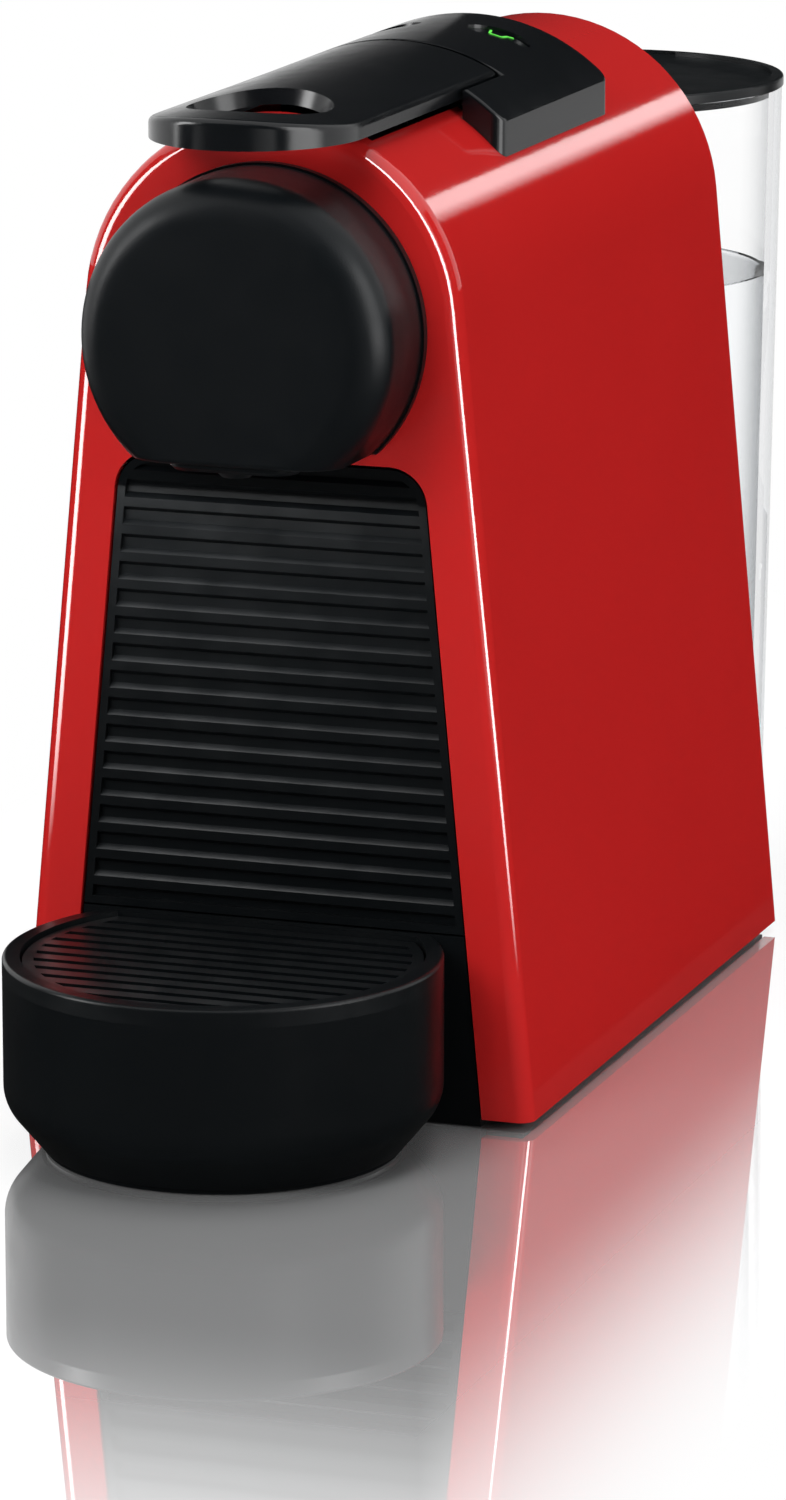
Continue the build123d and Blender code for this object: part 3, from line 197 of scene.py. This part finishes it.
def clear_plastic():
    """Clear where it faces the eye, with grey painted shade where it is seen edge on."""
    look = Look("clear_plastic", IOR=1.12, Transmission_Weight=1.0)
    # The grey towards the edges is painted shade, not the plastic's own colour.
    look.colour(look.painted_edge_shade(0.45, 18.0), (1.0, 1.0, 1.0), (0.44, 0.46, 0.48))
    look.roughness(look.noise(90.0), 0.0, 0.03)
    look.bump(look.noise(60.0), 0.05, 0.00002)
    return look.material


def water_look():
    look = Look("tank_water", IOR=1.06, Transmission_Weight=1.0)
    # The dark grey towards the edges is painted shade, not the water's own colour.
    look.colour(look.painted_edge_shade(0.42, 15.0), (0.98, 0.99, 1.0), (0.22, 0.235, 0.25))
    look.roughness(look.noise(40.0), 0.0, 0.02)
    look.bump(look.noise(55.0), 0.04, 0.00004)
    return look.material


def hose_silicone():
    look = Look("hose_silicone", Subsurface_Weight=0.25, Subsurface_Radius=(0.002, 0.002, 0.0018))
    look.colour(look.noise(60.0), (0.66, 0.65, 0.60), (0.76, 0.75, 0.70))
    look.roughness(look.noise(200.0), 0.35, 0.5)
    look.bump(look.noise(700.0), 0.2, 0.00003)
    return look.material


def polished_steel():
    look = Look("polished_steel", Metallic=1.0)
    grain = look.noise(60.0, 3.0, look.stretched((1.0, 14.0, 14.0)))
    look.colour(grain, (0.58, 0.58, 0.57), (0.70, 0.70, 0.69))
    look.roughness(grain, 0.16, 0.3)
    look.bump(grain, 0.1, 0.00002)
    return look.material


def thermostat_can():
    look = Look("thermostat_can", Metallic=1.0)
    grain = look.noise(300.0, 4.0)
    look.colour(grain, (0.45, 0.45, 0.43), (0.58, 0.58, 0.56))
    look.roughness(grain, 0.28, 0.42)
    look.bump(grain, 0.1, 0.00003)
    return look.material


def coil_steel():
    look = Look("coil_steel", Metallic=0.4)
    layers = look.noise(40.0, 2.0, look.stretched((2.0, 30.0, 2.0)))
    look.colour(layers, (0.030, 0.028, 0.026), (0.085, 0.070, 0.060))
    look.roughness(layers, 0.4, 0.6)
    look.bump(layers, 0.3, 0.0001)
    return look.material


def cast_aluminium():
    look = Look("cast_aluminium", Metallic=1.0)
    grain = look.noise(900.0, 3.0)
    look.colour(look.noise(30.0, 4.0), (0.48, 0.49, 0.50), (0.60, 0.61, 0.62))
    look.roughness(grain, 0.42, 0.58)
    look.bump(grain, 0.35, 0.00008)
    return look.material


def circuit_board():
    look = Look("circuit_board")
    tracks = look.node("ShaderNodeTexBrick", Scale=140.0)
    look.link(look.place, tracks.inputs["Vector"])
    look.colour(tracks.outputs["Fac"], (0.006, 0.055, 0.022), (0.012, 0.095, 0.040))
    look.roughness(look.noise(300.0), 0.28, 0.4)
    look.bump(tracks.outputs["Fac"], 0.1, 0.00003)
    return look.material


def icon_lit():
    look = Look("icon_lit", Roughness=0.4, Emission_Strength=0.7)
    glow = look.colour(look.noise(400.0), (0.06, 0.42, 0.04), (0.10, 0.55, 0.06))
    look.link(glow, look.shader.inputs["Emission Color"])
    return look.material


def icon_dim():
    look = Look("icon_dim", Roughness=0.4)
    look.colour(look.noise(400.0), (0.030, 0.040, 0.030), (0.045, 0.058, 0.045))
    return look.material


LOOKS = {
    "shell_red": red_gloss,
    "satin_black": satin_black,
    "gloss_black": gloss_black,
    "moulded_black": moulded_black,
    "inner_black": inner_black,
    "clear_plastic": clear_plastic,
    "valve_grey": valve_grey,
    "soft_rubber": soft_rubber,
    "hose_silicone": hose_silicone,
    "polished_steel": polished_steel,
    "coil_steel": coil_steel,
    "cast_aluminium": cast_aluminium,
    "thermostat_can": thermostat_can,
    "circuit_board": circuit_board,
    "component_black": component_black,
}


def dress_nodes():
    """Give each node the look of its material slot."""
    looks = {slot: make() for slot, make in LOOKS.items()}
    for part in frame["record"]["subparts"]:
        mesh = nodes[part["node"]].data
        mesh.materials.clear()
        mesh.materials.append(looks[part["material_slot"]])


def link_mesh(name, points, faces):
    mesh = bpy.data.meshes.new(name)
    mesh.from_pydata(points, [], faces)
    thing = bpy.data.objects.new(name, mesh)
    bpy.context.scene.collection.objects.link(thing)
    return thing


def add_piece(name, points, faces, material, body):
    """A visible piece of the object that only this scene makes."""
    piece = link_mesh(name, points, faces)
    piece.data.materials.append(material)
    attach(piece, body)
    return piece


# Water in the tank, inside the tapered clear wall and its flat front
WATER_LEVEL = 139.0 * MM
WATER_FLOOR = 16.75 * MM
TANK_AXIS_Y = 121.3 * MM
TANK_FLAT_Y = 85.2 * MM
TANK_FOOT_Z = 14.2 * MM
TANK_FOOT_RADIUS = 35.8 * MM
TANK_FLARE = 2.7 / 166.9
WATER_CLEAR = 0.06 * MM
MENISCUS = 0.9 * MM
RING_STEPS = 96
WALL_STEPS = 12
# The rounded foot as height above the floor and inset, and the surface as share of the meniscus and inset
WATER_FOOT = [(0.0, 1.2 * MM), (0.4 * MM, 0.35 * MM), (1.2 * MM, 0.0)]
WATER_SURFACE = [(1.0, 0.0), (0.45, 0.35 * MM), (0.15, 0.9 * MM), (0.0, 2.2 * MM), (0.0, 18.0 * MM)]


def water_ring(height, inset):
    """Points round the tank's inside at a height, with the flat front cut off."""
    radius = TANK_FOOT_RADIUS + (height - TANK_FOOT_Z) * TANK_FLARE - WATER_CLEAR - inset
    flat = TANK_FLAT_Y + WATER_CLEAR + inset - TANK_AXIS_Y
    angles = [2 * pi * step / RING_STEPS for step in range(RING_STEPS)]
    return [(radius * cos(angle), TANK_AXIS_Y + max(radius * sin(angle), flat)) for angle in angles]


def build_water(material):
    levels = [(WATER_FLOOR + height, inset) for height, inset in WATER_FOOT]
    wall_foot = levels[-1][0]
    wall_height = WATER_LEVEL - wall_foot
    levels += [(wall_foot + wall_height * k / WALL_STEPS, 0.0) for k in range(1, WALL_STEPS + 1)]
    levels += [(WATER_LEVEL + MENISCUS * share, inset) for share, inset in WATER_SURFACE]
    points = []
    for height, inset in levels:
        points += [(x, y, height) for x, y in water_ring(min(height, WATER_LEVEL), inset)]
    faces = []
    for start in range(0, len(points) - RING_STEPS, RING_STEPS):
        for step in range(RING_STEPS):
            here, there = start + step, start + (step + 1) % RING_STEPS
            faces.append((here, there, there + RING_STEPS, here + RING_STEPS))
    faces.append(tuple(reversed(range(RING_STEPS))))
    faces.append(tuple(range(len(points) - RING_STEPS, len(points))))
    water = add_piece("tank_water", points, faces, material, "tank")
    for face in water.data.polygons:
        face.use_smooth = True


# Cup signs on the two buttons, which lie on the crown's cylinder
CROWN_CENTRE_Z = 163.7 * MM
BUTTON_RADIUS = 42.8 * MM
SIGN_LIFT = 0.04 * MM
SIGN_THICK = 0.12 * MM
# An open cup with a handle as one stroke, and half the stroke's width, both in sign sizes
CUP_STROKE = [(-0.62, 0.50), (-0.50, -0.10), (-0.42, -0.42), (-0.30, -0.50), (0.0, -0.50), (0.30, -0.50),
              (0.42, -0.42), (0.50, -0.10), (0.56, 0.20), (0.76, 0.26), (0.90, 0.40)]
STROKE_HALF = 0.075


def cup_sign(name, body, centre, size, material):
    """A cup drawn as one bent strip of even width on the button's curved top."""
    path = [Vector((centre[0] + size * u, centre[1] + size * v)) for u, v in CUP_STROKE]
    left, right = [], []
    for index, point in enumerate(path):
        before = path[max(index - 1, 0)]
        after = path[min(index + 1, len(path) - 1)]
        along = (after - before).normalized()
        side = Vector((-along.y, along.x)) * STROKE_HALF * size
        left.append(point + side)
        right.append(point - side)
    points = []
    for lift in (SIGN_LIFT, SIGN_LIFT + SIGN_THICK):
        for x, y in left + right:
            points.append((x, y, CROWN_CENTRE_Z + sqrt((BUTTON_RADIUS + lift) ** 2 - x * x)))
    count = len(path)
    top = 2 * count
    faces = []
    for k in range(count - 1):
        faces.append((top + k, top + count + k, top + count + k + 1, top + k + 1))
        faces.append((k, k + 1, count + k + 1, count + k))
        faces.append((k, top + k, top + k + 1, k + 1))
        faces.append((count + k, count + k + 1, top + count + k + 1, top + count + k))
    faces.append((0, count, top + count, top))
    faces.append((count - 1, top + count - 1, top + 2 * count - 1, 2 * count - 1))
    add_piece(name, points, faces, material, body)


def build_signs():
    cup_sign("espresso_sign", "espresso_key", (11.2 * MM, 16.4 * MM), 3.3 * MM, icon_lit())
    cup_sign("lungo_sign", "lungo_key", (-11.2 * MM, 16.0 * MM), 3.9 * MM, icon_dim())


WHITE = (1, 1, 1, 1)


class Nodes:
    """Short calls to fill a bare node tree."""

    def __init__(self, tree):
        self.tree = tree
        tree.nodes.clear()

    def add(self, kind, *values, **settings):
        """A node with its first inputs linked or set; gives its first output."""
        made = self.tree.nodes.new(kind)
        for name, value in settings.items():
            setattr(made, name, value)
        for socket, value in zip(made.inputs, values):
            if isinstance(value, bpy.types.NodeSocket):
                self.tree.links.new(value, socket)
            else:
                socket.default_value = value
        return made.outputs[0] if made.outputs else made

    def output(self, kind, name):
        """A named output of a new node."""
        return self.tree.nodes.new(kind).outputs[name]

    def largest(self, *sockets):
        most = sockets[0]
        for socket in sockets[1:]:
            most = self.add("ShaderNodeMath", most, socket, operation="MAXIMUM")
        return most

    def looked_at(self):
        """1 for the rays that carry the picture: camera, mirror and glass rays."""
        path = self.tree.nodes.new("ShaderNodeLightPath")
        return self.largest(path.outputs["Is Camera Ray"], path.outputs["Is Glossy Ray"],
                            path.outputs["Is Transmission Ray"])

    def fade(self, value, start, stop):
        """1 up to a start, falling smoothly to 0 at a stop."""
        made = self.tree.nodes.new("ShaderNodeMapRange")
        made.interpolation_type = "SMOOTHSTEP"
        for socket, number in (("From Min", start), ("From Max", stop), ("To Min", 1.0), ("To Max", 0.0)):
            made.inputs[socket].default_value = number
        self.tree.links.new(value, made.inputs["Value"])
        return made.outputs["Result"]


def bare_material(thing, name):
    """An empty node material on a stage piece."""
    material = bpy.data.materials.new(name)
    material.use_nodes = True
    thing.data.materials.append(material)
    return Nodes(material.node_tree)


FLOOR_HALF = 6.0
FLOOR_GREY = (0.9, 0.9, 0.9, 1)
FLOOR_MIRROR = 0.83
# The mirror image fades with the distance from the object's footprint, which counts more across than along
FOOTPRINT = (0.055, 0.162, 0.0)
FADE_SCALE = (3.0, 1.06, 0.0)
FADE_START, FADE_STOP = 0.065, 0.285


def build_floor():
    """A white floor whose mirror image of the object fades with distance from its footprint."""
    corners = [(-FLOOR_HALF, -FLOOR_HALF, 0), (FLOOR_HALF, -FLOOR_HALF, 0),
               (FLOOR_HALF, FLOOR_HALF, 0), (-FLOOR_HALF, FLOOR_HALF, 0)]
    floor = link_mesh("floor", corners, [(0, 1, 2, 3)])
    net = bare_material(floor, "floor")
    folded = net.add("ShaderNodeVectorMath", net.output("ShaderNodeTexCoord", "Object"), operation="ABSOLUTE")
    outside = net.add("ShaderNodeVectorMath", folded, FOOTPRINT, operation="SUBTRACT")
    scaled = net.add("ShaderNodeVectorMath", outside, FADE_SCALE, operation="MULTIPLY")
    axes = net.tree.nodes.new("ShaderNodeSeparateXYZ")
    net.tree.links.new(scaled, axes.inputs[0])
    near = net.fade(net.largest(axes.outputs[0], axes.outputs[1]), FADE_START, FADE_STOP)
    mirror = net.add("ShaderNodeMath", near, FLOOR_MIRROR, operation="MULTIPLY")
    white = net.add("ShaderNodeEmission", WHITE, 1.0)
    matt = net.add("ShaderNodeBsdfDiffuse", FLOOR_GREY)
    gloss = net.add("ShaderNodeBsdfGlossy", WHITE, 0.0)
    ground = net.add("ShaderNodeMixShader", near, white, matt)
    seen = net.add("ShaderNodeMixShader", mirror, ground, gloss)
    surface = net.add("ShaderNodeMixShader", net.looked_at(), matt, seen)
    net.add("ShaderNodeOutputMaterial", surface)


SURROUND_GREY = (0.42, 0.43, 0.44, 1)


def build_world():
    """Even grey light; the rays that carry the picture see a white surround."""
    world = bpy.data.worlds.new("world")
    world.use_nodes = True
    bpy.context.scene.world = world
    net = Nodes(world.node_tree)
    grey = net.add("ShaderNodeBackground", SURROUND_GREY, 1.0)
    white = net.add("ShaderNodeBackground", WHITE, 1.0)
    net.add("ShaderNodeOutputWorld", net.add("ShaderNodeMixShader", net.looked_at(), grey, white))


# Cards are grids with this many cells across; s and t are the shares of the way across and along
CARD_CELLS = 12
CARD_STEPS = [k / CARD_CELLS for k in range(CARD_CELLS + 1)]


def sheet(name, rows, glow):
    """A studio card that only glossy rays meet, and only on its front; glow(s, t) is its brightness.

    The floor's mirror is perfectly sharp, and its rays pass through.
    """
    row, last = CARD_CELLS + 1, len(rows) - 1
    points = [point for line in rows for point in line]
    faces = [(i + j * row, i + 1 + j * row, i + 1 + (j + 1) * row, i + (j + 1) * row)
             for j in range(last) for i in range(CARD_CELLS)]
    thing = link_mesh(name, points, faces)
    level = thing.data.attributes.new("glow", "FLOAT", "POINT")
    level.data.foreach_set("value", [glow(s, j / last) for j in range(last + 1) for s in CARD_STEPS])
    net = bare_material(thing, name)
    source = net.tree.nodes.new("ShaderNodeAttribute")
    source.attribute_name = "glow"
    light = net.add("ShaderNodeEmission", WHITE, source.outputs["Fac"])
    clear = net.add("ShaderNodeBsdfTransparent")
    passed = net.largest(net.output("ShaderNodeNewGeometry", "Backfacing"),
                         net.output("ShaderNodeLightPath", "Is Singular Ray"))
    net.add("ShaderNodeOutputMaterial", net.add("ShaderNodeMixShader", passed, light, clear))
    thing.visible_camera = False
    thing.visible_diffuse = False
    thing.visible_transmission = False
    thing.visible_volume_scatter = False
    thing.visible_shadow = False
    return thing


def card(name, corner, across, along, glow):
    """A flat card from a corner and two sides; it faces the side from which they turn anticlockwise."""
    corner, across, along = Vector(corner), Vector(across), Vector(along)
    return sheet(name, [[corner + across * s + along * t for s in CARD_STEPS] for t in CARD_STEPS], glow)


def even(level):
    return lambda s, t: level


def soft_ends(level):
    """Even light that falls to nothing over the outer quarters of the card's width."""
    return lambda s, t: level * min(1.0, 4.0 * s, 4.0 - 4.0 * s)


# The shell's outline, which some cards follow
SHELL_LEAN = radians(5.37)
ARCH_Z = 161.7 * MM
ARCH_RADIUS = 39.8 * MM


def arch_turns(end_turn):
    """Angles round the arch, from the top of a leaning side to an end in degrees."""
    return [SHELL_LEAN + (radians(end_turn) - SHELL_LEAN) * t for t in CARD_STEPS]


def outline(side, gap, low_z, end_turn):
    """Points a gap away from the shell, from low_z up one leaning side and round the arch to an angle."""
    radius = ARCH_RADIUS + gap
    points = [(radius * cos(turn), ARCH_Z + radius * sin(turn)) for turn in arch_turns(end_turn)]
    tangent_x, tangent_z = points[0]
    points.insert(0, (tangent_x + (tangent_z - low_z) * tan(SHELL_LEAN), low_z))
    return [(side * x, z) for x, z in points]


# Dark flags beside the shell
FLAG_GAP = 0.011
FLAG_REAR = 0.135
FLAG_LOW_Z = 0.0005
FLAG_END_TURN = 9


def side_flag(side, front_low, front_high):
    """A black card bent round one side of the shell that faces it.

    Its front edge leans from front_low at the floor to front_high at the arch.
    """
    rows = []
    for x, z in outline(side, FLAG_GAP, FLAG_LOW_Z, FLAG_END_TURN):
        front = front_low + (front_high - front_low) * z / ARCH_Z
        start, stop = (FLAG_REAR, front) if side > 0 else (front, FLAG_REAR)
        rows.append([(x, start + (stop - start) * s, z) for s in CARD_STEPS])
    sheet("flag_side", rows, even(0.0))


# The highlights on the rounded front edge: ribbons at a reach from it, with a soft lower end
EDGE_Y = -92.0 * MM
LINE_REACH = 0.12
LINE_STEPS = 8
LINE_SOFT = 8.0


def edge_line(name, side, low_z, end_turn, edge_turn, turn_per_metre, width, level):
    """A ribbon card placed so that its mirror image draws a line along the shell's front edge.

    The line lies edge_turn degrees round the edge from the front, and more below the arch.
    """
    (foot_x, foot_z), *arch = outline(side, 0.0, low_z, end_turn)
    top_x, top_z = arch[0]
    straight = [(foot_x + (top_x - foot_x) * k / LINE_STEPS, foot_z + (top_z - foot_z) * k / LINE_STEPS)
                for k in range(LINE_STEPS)]
    turns = [SHELL_LEAN] * LINE_STEPS + arch_turns(end_turn)
    rows = []
    for (x, z), turn in zip(straight + arch, turns):
        place = Vector((x, EDGE_Y, z))
        front = radians(edge_turn + turn_per_metre * max(0.0, ARCH_Z - z))
        normal = Vector((side * sin(front) * cos(turn), -cos(front), sin(front) * sin(turn)))
        ray = (place - CAMERA_PLACE).normalized().reflect(normal)
        across = Vector((ray.y, -ray.x, 0)).normalized() * width
        rows.append([place + ray * LINE_REACH + across * (s - 0.5) for s in CARD_STEPS])
    return sheet(name, rows, lambda s, t: level * min(1.0, LINE_SOFT * t))


def light_only(names, *cards):
    """Keep the cards' light to some of the nodes."""
    lit = bpy.data.collections.new("lit_" + names[0])
    for name in names:
        lit.objects.link(nodes[name])
    for thing in cards:
        thing.light_linking.receiver_collection = lit


DARK = 0.02
# Dark flags that keep the gloss deep: name, corner, side across, side along, brightness
FLAGS = [
    ("floor_front", (-0.9, -1.6, 0.0002), (1.5, 0, 0), (0, 1.52, 0), DARK),
    ("floor_right", (0.055, -0.08, 0.0002), (0.5, 0, 0), (0, 0.62, 0), DARK),
    ("floor_left", (-0.555, -0.08, 0.0002), (0.5, 0, 0), (0, 0.62, 0), DARK),
    ("flag_front", (1.6, -1.65, 0), (-3.2, 0, 0), (0, 0, 1.6), DARK),
    ("flag_far", (0.3, 1.6, 0.11), (0, -1.15, 0), (0, 0, 0.255), 0.0),
    ("flag_top", (0.3, 3.4, 0.52), (0, -2.5, 0), (0, 0, 1.1), DARK),
    ("flag_back", (-0.22, 0.27, 0.220), (0.275, 0, 0), (0, 0, 0.6), DARK),
    ("flag_lid", (-0.06, 0.20, 0.186), (0.105, 0, 0), (0, 0, 0.07), DARK),
]


def build_flags():
    side_flag(-1, -0.098, -0.098)
    side_flag(1, -0.080, -0.100)
    for name, corner, across, along, level in FLAGS:
        card(name, corner, across, along, even(level))


def build_cards():
    """Bright cards draw the highlights, each on its own nodes."""
    # Lines along the shell's front edge, and the streak on its arch
    line_right = edge_line("line_right", 1, low_z=0.033, end_turn=75, edge_turn=31.0, turn_per_metre=220.0,
                           width=0.036, level=18.0)
    line_left = edge_line("line_left", -1, low_z=0.05, end_turn=60, edge_turn=13.0, turn_per_metre=0.0,
                          width=0.06, level=14.0)
    strip = card("strip_arch", (0.3, 1.7, 0.365), (0, -1.1, 0), (0, 0, 0.153),
                 lambda s, t: 2.6 * min(1.0, 2.5 * t))
    light_only(["outer_shell"], line_right, line_left, strip)

    # Sheen on the lever and the panel, from above and from the side
    sheen = card("sheen_top", (-0.22, 0.265, 0.205), (0.27, 0, 0), (0, 0, 0.085),
                 lambda s, t: 1.1 * (1.0 - t) ** 1.5 * (1.0 - s))
    sheen_side = card("sheen_side", (0.3, 1.6, 0.0), (0, -1.15, 0), (0, 0, 0.11), even(0.45))
    light_only(["lever", "top_panel"], sheen, sheen_side)

    # Soft boxes left and right of the head
    left = card("soft_left", (-0.6, -0.62, 0.04), (0, 0.42, 0), (0, 0, 0.5), soft_ends(10.0))
    right = card("soft_right", (0.6, 0.06, 0.04), (0, -0.5, 0), (0, 0, 0.6), soft_ends(5.0))
    light_only(["head_cap", "lever", "top_panel", "tray_rim", "tank_lid"], left, right)

    # Light on the ribs and the grid from under the head
    bay = card("soft_bay", (-0.09, -0.092, 0.126), (0.12, 0, 0), (0, -0.07, 0), lambda s, t: 14.0 - 9.0 * s)
    light_only(["container_front", "lower_front", "drip_grid"], bay)


LAMP_AIM = Vector((0, 0, 0.1))


def add_lamp(name, place, size, power):
    """A square area lamp that lights the object but isn't seen or mirrored."""
    data = bpy.data.lights.new(name, "AREA")
    data.size = size
    data.energy = power
    lamp = bpy.data.objects.new(name, data)
    lamp.location = place
    lamp.rotation_euler = (Vector(place) - LAMP_AIM).to_track_quat("Z", "Y").to_euler()
    lamp.visible_camera = False
    lamp.visible_glossy = False
    lamp.visible_transmission = False
    bpy.context.scene.collection.objects.link(lamp)


def build_lamps():
    add_lamp("key", (-0.5, -1.5, 1.1), 0.9, 20)
    add_lamp("side", (1.7, -0.2, 0.8), 0.8, 11)
    add_lamp("top", (0.1, 0.2, 1.7), 1.0, 20)


build_camera()
dress_nodes()
build_water(water_look())
build_signs()
build_floor()
build_world()
build_flags()
build_cards()
build_lamps()
bpy.context.scene.view_settings.view_transform = "Standard"
